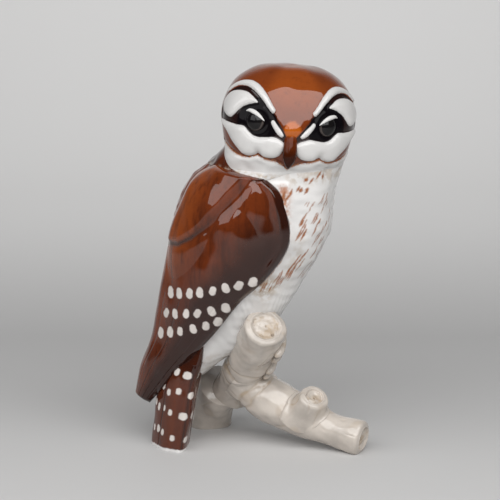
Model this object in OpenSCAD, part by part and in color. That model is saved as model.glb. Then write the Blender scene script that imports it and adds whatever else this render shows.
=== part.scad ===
// Glazed porcelain owl on a cut branch, in millimetres, +Z up.
// The origin lies on the table, under the middle of the whole figurine.
// The owl looks out along -Y with its breast turned towards +X.

/* [Figurine] */
// height from the table to the crown of the head
total_height = 120; // [108:1:132]
// how far the body is turned from +X towards the viewer, degrees
body_turn = 18; // [12:1:22]

/* [Head] */
// width across the facial discs
head_width = 40.8; // [39:0.1:42]
// front to back through the crown
head_depth = 36; // [34:0.5:38]
// sideways tilt of the head, degrees
head_roll = 5; // [2:0.5:7]
// diameter of each eye bead
eye_diameter = 7; // [6:0.5:8]

/* [Wings] */
// thickness of a folded wing at its middle
wing_thickness = 3.6; // [3:0.1:4.5]

/* [Branch] */
// diameter of the perch at its sawn end
perch_diameter = 13.4; // [12.4:0.1:14]
// diameter of the lying branch at its sawn end
branch_diameter = 10.4; // [9.6:0.1:11]
// diameter of the pruned knot at its cut
knot_diameter = 8.6; // [7.8:0.1:9]

/* [Feet] */
// diameter of a toe
toe_diameter = 2.8; // [2.4:0.1:3.2]

/* [Hidden] */

// everything is drawn for a figurine of this height and scaled from there
drawn_height = 120.5;
size = total_height / drawn_height;
// from the drawing's own zero to the middle of the bounding box
drawn_middle = [-0.5, 5.61, 0];

ring_points = 36;
tube_points = 24;
wing_points = 12;
// pieces that lie on a curved neighbour keep this far off its true curve
joint_gap = 0.12;

glaze_brown = [0.42, 0.13, 0.05];
glaze_white = [0.93, 0.91, 0.88];
glaze_black = [0.03, 0.02, 0.02];
cere_orange = [0.55, 0.22, 0.08];
bark_white = [0.85, 0.81, 0.75];

head_centre = [10.6, -3.5, 104.6];
neck_height = 91;
tail_top = 28;
// where the bird's own middle line crosses the drawing
bird_zero = [0, 0.5, 0];
// the tail swings back from the body's line and almost along X
tail_zero = [0, 4.5, 0];
tail_turn = 2;

// rows of the bird, from the table up: height, front, back, half width
tail_rows = [
    [0, -20.3, -31.9, 8.5],
    [11, -18.5, -30.8, 8.5],
    [22, -16.6, -29.3, 8.3],
    [tail_top, -15, -28, 8]
];
body_rows = [
    [tail_top, -9, -28, 7.5],
    [34, -1, -28, 8.5],
    [41, 7, -28, 10.5],
    [48, 12.2, -27.7, 13],
    [56, 16.5, -27, 16],
    [63, 20.8, -26.3, 17.8],
    [70, 24, -25.4, 18.6],
    [77, 24.8, -23.4, 18.3],
    [84, 26, -20, 17.4],
    [88, 26.8, -16, 16.4],
    [neck_height, 27.5, -12, 15.5]
];
body_fullness = 0.94;
tail_fullness = 0.7;
// the tail narrows from its flat front to a ridge at the back
tail_taper = 0.75;

// rows of the head, from its centre: height, half width, face and nape as shares
head_rows = [
    [-10.5, 0.885, 0.92, 0.86],
    [-5.0, 0.95, 0.97, 0.97],
    [0.0, 0.99, 0.97, 1.00],
    [5.0, 0.95, 0.90, 0.97],
    [10.0, 0.82, 0.76, 0.85],
    [13.4, 0.62, 0.57, 0.64],
    [15.3, 0.38, 0.35, 0.38]
];

// rows along a folded wing: front edge, back edge, then how far the front edge, the
// middle and the back edge stand out from the bird's middle plane
wing_rows = [
    [9, 88.2, -8.5, 90.8, 14, 15, 8],
    [13.2, 84.5, -15.8, 86.5, 14.9, 18.3, 9],
    [15, 79.5, -20.2, 78, 15.3, 20.5, 9],
    [16.3, 72, -23.8, 70, 15.5, 21.5, 8.5],
    [14.8, 65.5, -25.8, 61, 15.5, 21.3, 8],
    [8.5, 57, -27.7, 52.5, 15.5, 20, 7.5],
    [0, 49, -29.5, 44, 14.8, 17.3, 7],
    [-9, 38, -31.7, 34.5, 12.8, 14, 6],
    [-21.5, 25, -35.6, 25, 9.5, 10.5, 5.2],
    [-32.5, 13, -37.8, 15.5, 6, 6.5, 4.5]
];

// ---- curves and skins ----

function table_row(rows, i) = rows[max(0, min(len(rows) - 1, i))];

// a row between the rows of a table, on a smooth curve through them
function smooth_row(rows, s) =
    let (i = min(floor(s), len(rows) - 2), t = s - i)
    let (a = table_row(rows, i - 1), b = table_row(rows, i))
    let (c = table_row(rows, i + 1), d = table_row(rows, i + 2))
    (2 * b + (c - a) * t + (2 * a - 5 * b + 4 * c - d) * t * t
     + (3 * b - a - 3 * c + d) * t * t * t) / 2;

function smooth_table(rows, steps) =
    [for (k = [0 : steps]) smooth_row(rows, k * (len(rows) - 1) / steps)];

function signed_power(value, power) = sign(value) * pow(abs(value), power);

// a flat oval ring at one height, whose front and back reach different distances; with a
// taper it is wider at the front than at the back
function oval(height, front, back, half_width, fullness, taper = 0, first_angle = 0) = [
    for (k = [0 : ring_points - 1])
        let (angle = first_angle + 360 * k / ring_points)
        [(front + back) / 2 + (front - back) / 2 * signed_power(cos(angle), fullness),
         half_width * signed_power(sin(angle), fullness) * (1 + taper * cos(angle)), height]
];

function row_oval(row, fullness, taper = 0) =
    oval(row[0], row[1], row[2], row[3], fullness, taper);

function mean(points) = ([for (p = points) 1] * points) / len(points);

function turned(p, angle) =
    [p[0] * cos(angle) - p[1] * sin(angle), p[0] * sin(angle) + p[1] * cos(angle), p[2]];

function rolled(p, angle) =
    [p[0] * cos(angle) + p[2] * sin(angle), p[1], p[2] * cos(angle) - p[0] * sin(angle)];

function from_bird(p) = bird_zero + turned(p, -body_turn);

// a closed solid through a list of rings with the same number of points
module skin(rings) {
    n = len(rings[0]);
    last = len(rings) - 1;
    first_middle = n * len(rings);
    points = [for (ring = rings) for (p = ring) p, mean(rings[0]), mean(rings[last])];
    sides = [for (r = [0 : last - 1]) for (k = [0 : n - 1])
        let (a = r * n + k, b = r * n + (k + 1) % n)
        for (face = [[a, b, b + n], [a, b + n, a + n]]) face];
    first_cap = [for (k = [0 : n - 1]) [(k + 1) % n, k, first_middle]];
    last_cap = [for (k = [0 : n - 1]) [last * n + k, last * n + (k + 1) % n, first_middle + 1]];
    polyhedron(points, concat(sides, first_cap, last_cap), convexity = 6);
}

// the directions across a tube that runs along a given direction
function across(along) = let (c = cross(along, [0.3, 0.2, 1])) c / norm(c);
function ring_around(middle, along, radius) =
    let (a = across(along), b = cross(a, along))
    [for (k = [0 : tube_points - 1])
        middle + radius * (cos(360 * k / tube_points) * a - sin(360 * k / tube_points) * b)];

// rings along a round tube: rows of [x, y, z, radius]
function tube_rings(rows, steps, first_along = undef) =
    let (table = smooth_table(rows, steps))
    let (place = [for (row = table) [row[0], row[1], row[2]]])
    [for (i = [0 : steps])
        let (ahead = place[min(i + 1, steps)] - place[max(i - 1, 0)])
        let (along = i == 0 && !is_undef(first_along) ? first_along : ahead / norm(ahead))
        ring_around(place[i], along, table[i][3])];

// what would dip under the table lies flat on it
function on_table(rings) =
    [for (ring = rings) [for (p = ring) [p[0], p[1], max(p[2], 0)]]];

// a finished piece at its real size, measured from the middle of the figurine
module piece(colour) {
    color(colour) scale(size) translate(-drawn_middle) children();
}

module along_axis(start, direction) {
    bearing = atan2(direction[1], direction[0]);
    slope = acos(direction[2] / norm(direction));
    translate(start) rotate([0, slope, bearing]) children();
}

// ---- bird ----

body_table = smooth_table(body_rows, 27);
tail_table = smooth_table(tail_rows, 9);
bird_table = concat([for (i = [0 : len(tail_table) - 2]) tail_table[i]], body_table);

function at_height(z, column) = lookup(z, [for (row = bird_table) [row[0], row[column]]]);

// how far the body or the tail stands out sideways at one place of the side view
function half_width_at(u, z) =
    let (front = at_height(z, 1), back = at_height(z, 2), width = at_height(z, 3))
    let (fullness = z < tail_top ? tail_fullness : body_fullness)
    let (share = min(1, abs((2 * u - front - back) / (front - back))))
    width * pow(sqrt(1 - pow(share, 2 / fullness)), fullness);

module body_solid() {
    skin([for (row = body_table) [for (p = row_oval(row, body_fullness)) from_bird(p)]]);
}

module tail_solid() {
    skin([for (row = tail_table)
        [for (p = row_oval(row, tail_fullness, tail_taper)) tail_zero + turned(p, -tail_turn)]]);
}

// the head's lowest ring is the top of the neck, seen from the head's own front
neck_row = body_rows[len(body_rows) - 1];
neck_ring = [for (p = oval(neck_row[0], neck_row[1], neck_row[2], neck_row[3], body_fullness,
                           first_angle = body_turn - 90)) from_bird(p)];

function on_head(p) = head_centre + rolled(p, head_roll);

module head_solid() {
    table = smooth_table(head_rows, 18);
    rings = [for (row = table)
        let (half_depth = head_depth / 2, half_width = row[1] * head_width / 2)
        [for (p = oval(row[0], row[2] * half_depth, -row[3] * half_depth, half_width, 0.92))
            on_head(turned(p, -90))]];
    skin(concat([neck_ring], rings));
}

eye_height = -0.2;
eye_places = [-10.1, 10.2];
module eye_solid(x) {
    translate(on_head([x, -0.8 * head_depth / 2, eye_height])) scale([1, 0.75, 1])
        sphere(eye_diameter / 2);
}

// the beak hangs from the brow between the eyes: rows of y, z, radius
beak_rows = [
    [-0.92, -2.5, 1.6],
    [-1.04, -6, 2.3],
    [-1.07, -9.5, 1.8],
    [-1.0, -12.5, 0.6]
];
beak_x = 0.8;
module beak_solid() {
    rows = [for (row = beak_rows)
        concat(on_head([beak_x, row[0] * head_depth / 2, row[1]]), [row[2]])];
    skin(tube_rings(rows, 9));
}

// a shell that lies on the body: side 1 is the bird's right, -1 its left
module wing_solid(side) {
    steps = 24;
    rim = 1.3;
    rings = [for (row = smooth_table(wing_rows, steps))
        let (places = [for (k = [0 : wing_points])
            let (t = k / wing_points, u = row[0] + (row[2] - row[0]) * t)
            let (z = row[1] + (row[3] - row[1]) * t, bulge = sin(180 * t))
            let (drawn = row[4] * (1 - t) + row[6] * t
                 + (row[5] - (row[4] + row[6]) / 2) * bulge)
            let (under = half_width_at(u, z) + joint_gap)
            let (outer = max(drawn, under + rim * (1 + bulge)))
            let (inner = max(outer - wing_thickness * (0.4 + 0.6 * bulge), under))
            [u, z, outer, inner]])
        [for (k = [0 : wing_points]) [places[k][0], -side * places[k][2], places[k][1]],
         for (k = [wing_points : -1 : 0]) [places[k][0], -side * places[k][3], places[k][1]]]];
    world = [for (ring = rings) [for (p = ring) from_bird(p)]];
    skin(side > 0 ? world : [for (i = [steps : -1 : 0]) world[i]]);
}

// ---- branch ----

perch_start = [-6.3, 18.5, 13.5];
perch_end = [3.8, -12, 42];
perch_length = norm(perch_end - perch_start);
perch_axis = (perch_end - perch_start) / perch_length;
perch_radius = perch_diameter / 2;
fork_distance = 12;
fork = perch_start + perch_axis * fork_distance;

module perch_solid() {
    along_axis(perch_start, perch_axis)
        cylinder(r1 = perch_radius * 0.96, r2 = perch_radius, h = perch_length);
}

branch_rows = [
    concat(fork, [branch_diameter * 0.69]),
    [4.5, 7.5, 14.4, branch_diameter * 0.69],
    [15, 3, 9.8, branch_diameter * 0.6],
    [25.5, -1, 6.2, branch_diameter * 0.5],
    [34, -5, 4.7, branch_diameter * 0.5]
];
module branch_solid() {
    skin(on_table(tube_rings(branch_rows, 20)));
}

// the root starts on the perch's lower end plane, a little to the left of its middle
root_rows = [
    [-9.6, 18.8, 14.9, perch_radius * 1.13],
    [-12, 22.5, 10.5, perch_radius * 1.09],
    [-13.8, 26.5, 4, perch_radius * 1.03],
    [-14.8, 29, -4, perch_radius * 1.1]
];
module root_solid() {
    skin(on_table(tube_rings(root_rows, 12, -perch_axis)));
}

// the knot's foot follows the round of the branch that it grows from
knot_share = 1.95;
knot_end = [18.9, -4.1, 17.9];
module knot_solid() {
    host = smooth_row(branch_rows, knot_share);
    beyond = smooth_row(branch_rows, knot_share + 0.1);
    host_place = [host[0], host[1], host[2]];
    host_step = [beyond[0], beyond[1], beyond[2]] - host_place;
    host_axis = host_step / norm(host_step);
    along = (knot_end - host_place) / norm(knot_end - host_place);
    reach = host[3] + joint_gap;
    radius = knot_diameter / 2;
    // from a point beside the middle line, out to the branch's surface
    function out_to_surface(p) =
        let (q = p - host_place - ((p - host_place) * host_axis) * host_axis)
        let (d = along - (along * host_axis) * host_axis)
        let (a = d * d, b = q * d, c = q * q - reach * reach)
        p + along * (-b + sqrt(max(0, b * b - a * c))) / a;
    foot = [for (share = [0.05, 0.35, 0.7, 1])
        [for (p = ring_around(host_place, along, share * radius * 1.4)) out_to_surface(p)]];
    neck = ring_around(knot_end - along * 3.2, along, radius * 1.15);
    cut = ring_around(knot_end, along, radius);
    skin(concat(foot, [neck, cut]));
}

// ---- feet ----

// two toes that leave one instep and curl down over the front of the perch; how far each
// joint lies from the foot's middle line, in toe radii
toe_spread = [0.6, 1.0, 1.15, 1.2];
module foot_solid(distance) {
    forward_of_bird = from_bird([1, 0, 0]) - bird_zero;
    level = cross(perch_axis, forward_of_bird);
    up = level / norm(level) * (level[2] > 0 ? 1 : -1);
    ahead = cross(up, perch_axis) * (cross(up, perch_axis)[0] > 0 ? 1 : -1);
    middle = perch_start + perch_axis * distance;
    toe = toe_diameter / 2;
    first_angle = 62;
    bend = 20;
    for (spread = [-1, 1])
        for (i = [0 : len(toe_spread) - 2])
            hull()
                for (j = [i, i + 1])
                    translate(middle + perch_axis * spread * toe * toe_spread[j]
                              + (perch_radius + toe)
                              * (cos(first_angle + j * bend) * up
                                 + sin(first_angle + j * bend) * ahead))
                        sphere(toe * (1 - 0.08 * j), $fn = 14);
}

right_foot_distance = 33;
left_foot_distance = 22;

// ---- the pieces ----

module head() {
    piece(glaze_brown) difference() {
        head_solid();
        eye_solid(eye_places[0]);
        eye_solid(eye_places[1]);
        beak_solid();
    }
}

module beak() {
    piece(cere_orange) beak_solid();
}

module right_eye() {
    piece(glaze_black) eye_solid(eye_places[0]);
}

module left_eye() {
    piece(glaze_black) eye_solid(eye_places[1]);
}

module body() {
    piece(glaze_white) difference() {
        body_solid();
        perch_solid();
    }
}

module right_wing() {
    piece(glaze_brown) wing_solid(1);
}

module left_wing() {
    piece(glaze_brown) wing_solid(-1);
}

module tail() {
    piece(glaze_brown) tail_solid();
}

module right_foot() {
    piece(bark_white) foot_solid(right_foot_distance);
}

module left_foot() {
    piece(bark_white) foot_solid(left_foot_distance);
}

module perch_limb() {
    piece(bark_white) perch_solid();
}

module lower_branch() {
    piece(bark_white) difference() {
        branch_solid();
        perch_solid();
    }
}

module rear_root() {
    piece(bark_white) root_solid();
}

module knot_stub() {
    piece(bark_white) knot_solid();
}

head();
beak();
right_eye();
left_eye();
body();
right_wing();
left_wing();
tail();
right_foot();
left_foot();
perch_limb();
lower_branch();
rear_root();
knot_stub();
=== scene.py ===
"""Visual model of the glazed porcelain owl, drawn in the same millimetres as the CAD."""

import math
from types import SimpleNamespace

import bpy
import numpy as np
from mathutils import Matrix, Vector


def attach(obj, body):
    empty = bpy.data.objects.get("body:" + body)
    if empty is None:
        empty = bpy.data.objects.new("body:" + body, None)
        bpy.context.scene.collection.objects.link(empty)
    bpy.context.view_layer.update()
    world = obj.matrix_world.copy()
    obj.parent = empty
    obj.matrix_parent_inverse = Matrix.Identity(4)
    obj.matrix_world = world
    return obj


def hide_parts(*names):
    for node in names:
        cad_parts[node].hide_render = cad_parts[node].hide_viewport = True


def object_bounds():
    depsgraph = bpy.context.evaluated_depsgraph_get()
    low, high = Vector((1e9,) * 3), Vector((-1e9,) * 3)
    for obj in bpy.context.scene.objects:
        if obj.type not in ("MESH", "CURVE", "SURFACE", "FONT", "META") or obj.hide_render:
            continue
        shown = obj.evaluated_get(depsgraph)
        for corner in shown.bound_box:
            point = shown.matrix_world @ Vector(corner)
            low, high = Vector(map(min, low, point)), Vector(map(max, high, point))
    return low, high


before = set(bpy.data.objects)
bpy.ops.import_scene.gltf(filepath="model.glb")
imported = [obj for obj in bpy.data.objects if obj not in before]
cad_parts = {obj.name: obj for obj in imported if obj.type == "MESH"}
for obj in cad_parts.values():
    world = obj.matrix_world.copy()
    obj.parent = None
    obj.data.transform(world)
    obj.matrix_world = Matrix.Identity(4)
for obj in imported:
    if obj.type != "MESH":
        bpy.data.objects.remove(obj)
CAD_BOX = [list(corner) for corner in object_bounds()]

# ---- the drawing: millimetres of a figurine 120 mm tall, as in part.scad ----

# the drawing's height and the middle of its footprint, which are laid on the frame's box
DRAWN_HEIGHT = 120.52
MM = (CAD_BOX[1][2] - CAD_BOX[0][2]) / DRAWN_HEIGHT
BOX_MIDDLE = np.array([(a + b) / 2 for a, b in zip(*CAD_BOX)]) * [1, 1, 0]
DRAWN_MIDDLE = np.array([-0.5, 5.61, 0.0])
# the body and the wings are drawn with the breast to +X, then turned this much towards -Y
BODY_TURN = math.radians(18)
BIRD_ZERO = np.array([0.0, 0.5, 0.0])
# the same for the tail
TAIL_TURN = math.radians(2)
TAIL_ZERO = np.array([0.0, 4.5, 0.0])
# the head is drawn about its centre with the face to -Y, then tilted towards +X
HEAD_CENTRE = np.array([10.6, -3.5, 104.6])
HEAD_ROLL = math.radians(5)
# its half width and half depth
HEAD_HALF = np.array([20.4, 18.0])
TAIL_TOP = 28.0
NECK_HEIGHT = 91.0
# the power of the ovals seen from above: 1 is an ellipse, less is squarer
BODY_FULLNESS = 0.94
TAIL_FULLNESS = 0.7
HEAD_FULLNESS = 0.92
# how much wider than its middle the tail is at its front
TAIL_TAPER = 0.75
# keeps a division away from zero
TINY = 1e-9

# height, front, back, half width
TAIL_ROWS = [
    [0, -20.3, -31.9, 8.5],
    [11, -18.5, -30.8, 8.5],
    [22, -16.6, -29.3, 8.3],
    [TAIL_TOP, -15, -28, 8],
]
# the vent feathers run on down inside the tail's top
VENT_ROWS = [[20.5, -18.5, -25.5, 3], [24.5, -13.5, -27, 6]]
BODY_ROWS = [
    [TAIL_TOP, -9, -28, 7.5],
    [34, -1, -28, 8.5],
    [41, 7, -28, 10.5],
    [48, 12.2, -27.7, 13],
    [56, 16.5, -27, 16],
    [63, 20.8, -26.3, 17.8],
    [70, 24, -25.4, 18.6],
    [77, 24.8, -23.4, 18.3],
    [84, 26, -20, 17.4],
    [88, 26.8, -16, 16.4],
    [NECK_HEIGHT, 27.5, -12, 15.5],
]
# height from the head's centre, then face, nape and half width as shares of the half sizes
HEAD_ROWS = [
    [-10.5, 0.92, 0.86, 0.885],
    [-5.0, 0.97, 0.97, 0.95],
    [0.0, 0.97, 1.0, 0.99],
    [5.0, 0.9, 0.97, 0.95],
    [10.0, 0.76, 0.85, 0.82],
    [13.4, 0.57, 0.64, 0.62],
    [15.3, 0.35, 0.38, 0.38],
    [16.0, 0.02, 0.02, 0.02],
]
# the folded wing's front and back edge in side view, then how far its front edge, middle
# and back edge stand out from the bird's middle plane
WING_ROWS = [
    [9, 88.2, -8.5, 90.8, 14, 15, 8],
    [13.2, 84.5, -15.8, 86.5, 14.9, 18.3, 9],
    [15, 79.5, -20.2, 78, 15.3, 20.5, 9],
    [16.3, 72, -23.8, 70, 15.5, 21.5, 8.5],
    [14.8, 65.5, -25.8, 61, 15.5, 21.3, 8],
    [8.5, 57, -27.7, 52.5, 15.5, 20, 7.5],
    [0, 49, -29.5, 44, 14.8, 17.3, 7],
    [-9, 38, -31.7, 34.5, 12.8, 14, 6],
    [-21.5, 25, -35.6, 25, 9.5, 10.5, 5.2],
    [-32.5, 13, -37.8, 15.5, 6, 6.5, 4.5],
]
WING_THICKNESS = 3.6

# the limb's middle line, its radius, and where the lying branch forks off it
PERCH_START = np.array([-6.3, 18.5, 13.5])
PERCH_END = np.array([3.8, -12.0, 42.0])
PERCH_RADIUS = 6.7
PERCH_AXIS = (PERCH_END - PERCH_START) / np.linalg.norm(PERCH_END - PERCH_START)
FORK = PERCH_START + 12 * PERCH_AXIS

# ---- curves ----


def spline(a, b, c, d, t):
    """The smooth curve from b to c, where a comes before them and d after them."""
    return (
        2 * b
        + (c - a) * t
        + (2 * a - 5 * b + 4 * c - d) * t**2
        + (3 * b - a - 3 * c + d) * t**3
    ) / 2


def smooth_rows(rows, count):
    """Rows on a smooth curve through the given ones, evenly spread over them."""
    rows = np.array(rows, float)
    last = len(rows) - 1
    s = np.linspace(0, last, count)
    i = np.minimum(s.astype(int), last - 1)
    t = (s - i)[:, None]
    a, b, c, d = (rows[np.clip(i + k, 0, last)] for k in (-1, 0, 1, 2))
    return spline(a, b, c, d, t)


def read_off(table, x):
    """The second column of a table at places x of its first."""
    return np.interp(x, *np.array(table).T)


def fade(low, high, value):
    """0 at low or beyond, rising smoothly to 1 at high."""
    t = np.clip((value - low) / (high - low), 0, 1)
    return t * t * (3 - 2 * t)


def signed_power(value, power):
    return np.sign(value) * np.abs(value) ** power


def full_turn(count):
    return np.linspace(0, 2 * np.pi, count, endpoint=False)


def unit(v):
    return v / np.linalg.norm(v, axis=-1, keepdims=True)


def oval(angle, height, front, back, half_width, fullness, taper=0.0):
    """Places round an upright solid, at angles from its front."""
    x = (front + back) / 2 + (front - back) / 2 * signed_power(np.cos(angle), fullness)
    y = half_width * signed_power(np.sin(angle), fullness) * (1 + taper * np.cos(angle))
    return np.stack(np.broadcast_arrays(x, y, height), -1)


def oval_grid(rows, columns, fullness, taper=0.0):
    """Rings of an upright solid from rows of height, front, back, half width."""
    return oval(full_turn(columns), *(rows[:, k : k + 1] for k in range(4)), fullness, taper)


def tube_grid(rows, columns):
    """Rings along a round tube from rows of x, y, z, radius."""
    place, radius = rows[:, :3], rows[:, 3]
    along = unit(np.gradient(place, axis=0))
    across = unit(np.cross(along, [0.3, 0.2, 1.0]))
    over = np.cross(across, along)
    angle = full_turn(columns)[None, :, None]
    ring = across[:, None] * np.cos(angle) - over[:, None] * np.sin(angle)
    return place[:, None] + ring * radius[:, None, None]


def turned(p, angle):
    """Points turned about the upright axis."""
    c, s = math.cos(angle), math.sin(angle)
    return np.stack([p[..., 0] * c - p[..., 1] * s, p[..., 0] * s + p[..., 1] * c, p[..., 2]], -1)


def rolled(p, angle):
    """Points tilted sideways, about the axis from face to nape."""
    c, s = math.cos(angle), math.sin(angle)
    return np.stack([p[..., 0] * c + p[..., 2] * s, p[..., 1], p[..., 2] * c - p[..., 0] * s], -1)


def from_bird(p):
    return BIRD_ZERO + turned(p, -BODY_TURN)


def to_bird(p):
    return turned(p - BIRD_ZERO, BODY_TURN)


def on_head(p):
    return HEAD_CENTRE + rolled(p, HEAD_ROLL)


def to_head(p):
    return rolled(p - HEAD_CENTRE, -HEAD_ROLL)


def lumps(p, size, seed, waves=14):
    """A soft random field of about -1 to 1 with features of the given size."""
    random = np.random.default_rng(seed)
    direction = unit(random.normal(size=(waves, 3)))
    frequency = 2 * np.pi / size * random.uniform(0.6, 1.4, waves)
    phase = random.uniform(0, 2 * np.pi, waves)
    total = np.zeros(p.shape[:-1])
    for k in range(waves):
        total += np.sin(p @ (direction[k] * frequency[k]) + phase[k])
    return total * math.sqrt(2 / waves) / 1.6


def nearest_on(a, b, x, y):
    """Share of the way from a to b of the place nearest to x and y, and its distance."""
    dx, dy = b[:2] - a[:2]
    t = np.clip(((x - a[0]) * dx + (y - a[1]) * dy) / (dx * dx + dy * dy), 0, 1)
    return t, np.hypot(x - a[0] - t * dx, y - a[1] - t * dy)


def stroke(x, y, points):
    """Signed distance to a painted stroke through points of x, y, half width."""
    best = np.full(np.shape(x), np.inf)
    points = np.array(points, float)
    for a, b in zip(points[:-1], points[1:]):
        t, gap = nearest_on(a, b, x, y)
        best = np.minimum(best, gap - a[2] - t * (b[2] - a[2]))
    return best


def smooth_loop(points, steps=6):
    """A smooth closed curve through the points."""
    points = np.array(points, float)
    t = np.arange(steps)[:, None] / steps
    a, b, c, d = (np.roll(points, k, 0)[:, None] for k in (1, 0, -1, -2))
    return spline(a, b, c, d, t).reshape(-1, 2)


def patch(x, y, outline):
    """Signed distance to a patch with a smooth closed outline, negative inside it."""
    loop = smooth_loop(outline)
    best = np.full(np.shape(x), np.inf)
    inside = np.zeros(np.shape(x), bool)
    for a, b in zip(loop, np.roll(loop, -1, 0)):
        best = np.minimum(best, nearest_on(a, b, x, y)[1])
        run, rise = b - a
        rise = rise if abs(rise) > TINY else TINY
        inside ^= ((a[1] > y) != (b[1] > y)) & (x < a[0] + run * (y - a[1]) / rise)
    return np.where(inside, -best, best)


# a painted field's value far from its shape
AWAY = 5.0


def mound(distance, height, soft):
    """A raised shape with rounded shoulders inside a stroke."""
    t = np.clip(-distance / soft, 0, 1)
    return height * np.sqrt(1 - (1 - t) ** 2)


def ridge(distance, height, width):
    """A soft rise along the line where the distance is 0."""
    return height * np.exp(-((distance / width) ** 2))


def groove(distance, depth, width):
    return -ridge(distance, depth, width)


# ---- meshes ----


def grid_normals(p):
    """Outward unit normals of a grid of rings."""
    along = np.roll(p, -1, 1) - np.roll(p, 1, 1)
    up = np.gradient(p, axis=0)
    n = np.cross(along, up)
    return n / np.maximum(np.linalg.norm(n, axis=-1, keepdims=True), TINY)


def to_world(p):
    return (p - DRAWN_MIDDLE) * MM + BOX_MIDDLE


def grid_faces(rows, columns, start):
    """Four-sided faces between neighbouring rings."""
    r, c = np.meshgrid(np.arange(rows - 1), np.arange(columns), indexing="ij")
    a = start + r * columns + c
    b = start + r * columns + (c + 1) % columns
    return np.stack([a, b, b + columns, a + columns], -1).reshape(-1, 4)


def add_object(name, data):
    item = bpy.data.objects.new(name, data)
    bpy.context.scene.collection.objects.link(item)
    return item


def make_piece(name, grids, fields, material, nodes):
    """One piece of closed grids of rings, which stands in for CAD nodes. Fields are named
    numbers at each grid's points, which the material paints from."""
    verts, faces, values = [], [], {key: [] for key in fields[0]}
    for grid, field in zip(grids, fields):
        rows, columns = grid.shape[:2]
        start = sum(len(v) for v in verts)
        verts += [grid.reshape(-1, 3), grid[[0, -1]].mean(1)]
        faces += grid_faces(rows, columns, start).tolist()
        first, last = start + rows * columns, start + rows * columns + 1
        top = start + (rows - 1) * columns
        for c in range(columns):
            d = (c + 1) % columns
            faces.append([start + d, start + c, first])
            faces.append([top + c, top + d, last])
        for key, parts in values.items():
            value = np.broadcast_to(field[key], (rows, columns))
            parts += [value.reshape(-1), value[[0, -1]].mean(1)]
    mesh = bpy.data.meshes.new(name)
    mesh.from_pydata(to_world(np.concatenate(verts)).tolist(), [], faces)
    mesh.update()
    for key, parts in values.items():
        attribute = mesh.attributes.new(key, "FLOAT", "POINT")
        attribute.data.foreach_set("value", np.concatenate(parts).astype(np.float32))
    mesh.shade_smooth()
    mesh.materials.append(material)
    piece = add_object(name, mesh)
    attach(piece, "root")
    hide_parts(*nodes)


# ---- materials ----

BROWN = (0.155, 0.028, 0.005)
# the paler brown is painted reflection on the wing; the dark brown is painted shade on the wing and at
# the tail's top, and darker glaze elsewhere
BROWN_PALE = (0.29, 0.062, 0.008)
BROWN_DARK = (0.026, 0.005, 0.0015)
BROWN_BLACK = (0.014, 0.003, 0.002)
WHITE = (0.73, 0.715, 0.7)
DOT_WHITE = (0.68, 0.63, 0.59)
# cream porcelain, set darker than WHITE partly as painted shade
SHADED_IVORY = (0.6, 0.54, 0.48)
BLACK = (0.004, 0.003, 0.004)
BEIGE = (0.44, 0.35, 0.26)
ORANGE = (0.42, 0.095, 0.006)
STREAK = (0.3, 0.105, 0.035)
RIPPLE_DEPTH = 0.3 * MM


def dimmed(colour, share):
    return tuple(share * c for c in colour)


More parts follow.
